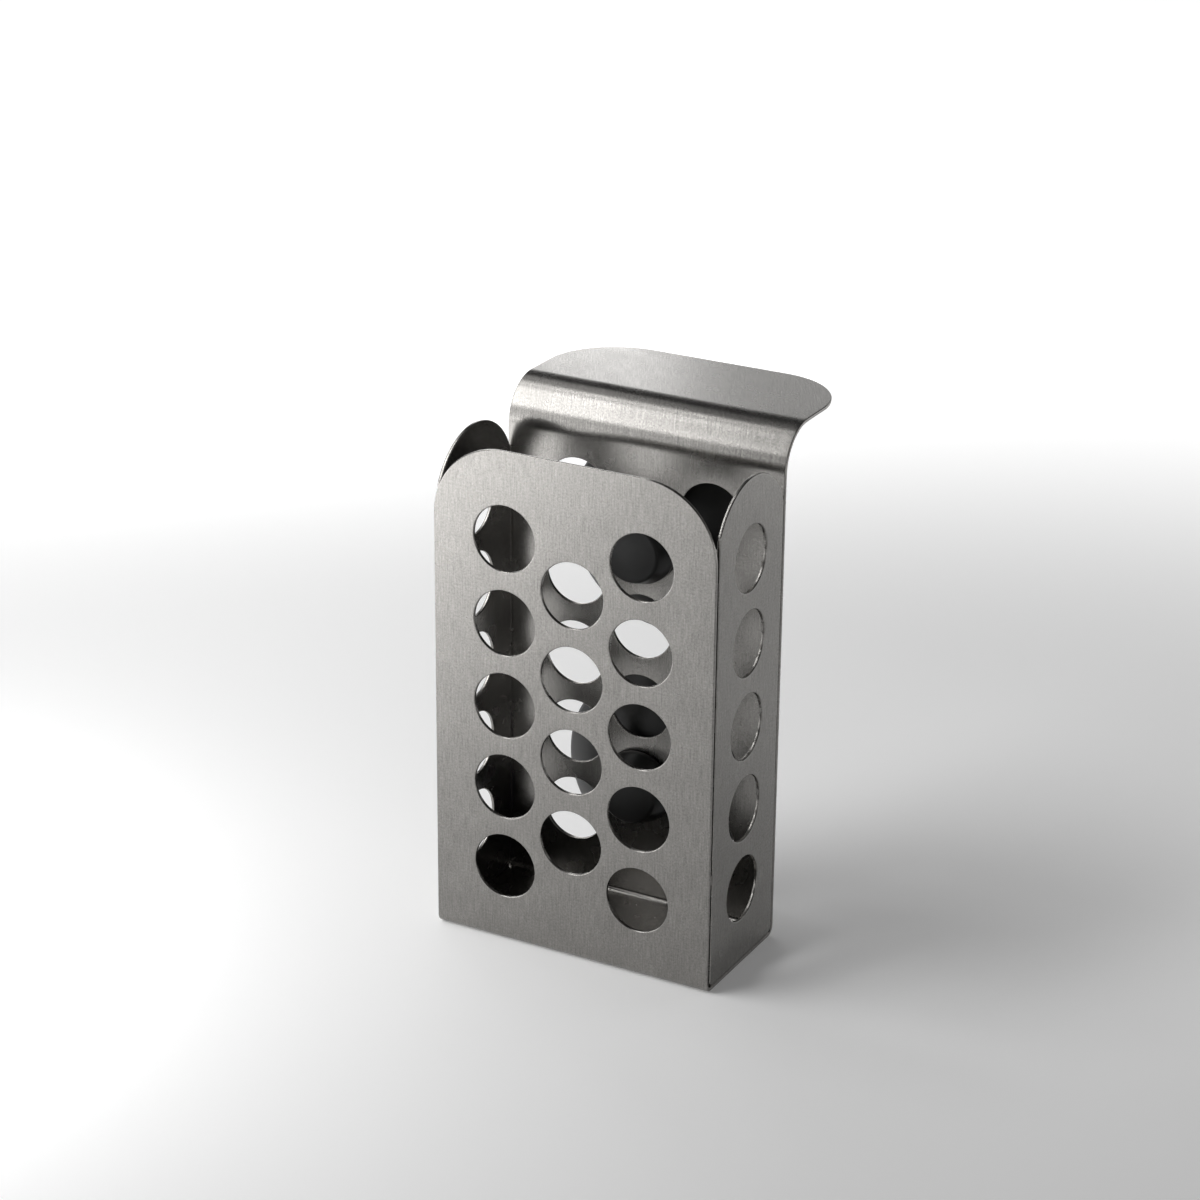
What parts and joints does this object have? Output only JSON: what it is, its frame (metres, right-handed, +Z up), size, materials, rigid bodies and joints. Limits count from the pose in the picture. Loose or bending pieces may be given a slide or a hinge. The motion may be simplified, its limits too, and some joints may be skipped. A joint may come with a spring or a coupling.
{
  "type": "sink cutlery basket",
  "caption": "Narrow perforated steel basket for draining cutlery, with round-topped sides, a ledge that turns back over a sink rim and rubber suction cups on its back.",
  "frame": {"origin": "centre of the whole part's box at the height of the floor's underside; the back panel's outer face lies in the plane Y = -1.25 mm", "axes": "+Z up, +X to the right seen from the front, front panel towards -Y, ledge and suction cups towards +Y"},
  "size_m": [0.08, 0.0794, 0.1405],
  "materials": {
    "sheet_steel": "brushed stainless steel, grain running up the panels",
    "weld_steel": "ground weld metal",
    "cup_rubber": "satin black moulded rubber"
  },
  "bodies": {
    "basket": {"strip": "sheet_steel", "side_left": "sheet_steel", "side_right": "sheet_steel", "tack_front_left": "weld_steel", "tack_front_right": "weld_steel", "seam_back_left": "weld_steel", "seam_back_right": "weld_steel", "seam_floor_left": "weld_steel", "seam_floor_right": "weld_steel"},
    "upper_cup": {"cup_upper": "cup_rubber"},
    "lower_cup": {"cup_lower": "cup_rubber"}
  },
  "joints": [
    {"name": "upper_cup_turn", "type": "hinge", "parent": "basket", "child": "upper_cup", "pos_m": [0, -0.00125, 0.10269], "axis": [0, 1, 0], "continuous": true},
    {"name": "lower_cup_turn", "type": "hinge", "parent": "basket", "child": "lower_cup", "pos_m": [0, -0.00125, 0.03421], "axis": [0, 1, 0], "continuous": true}
  ]
}
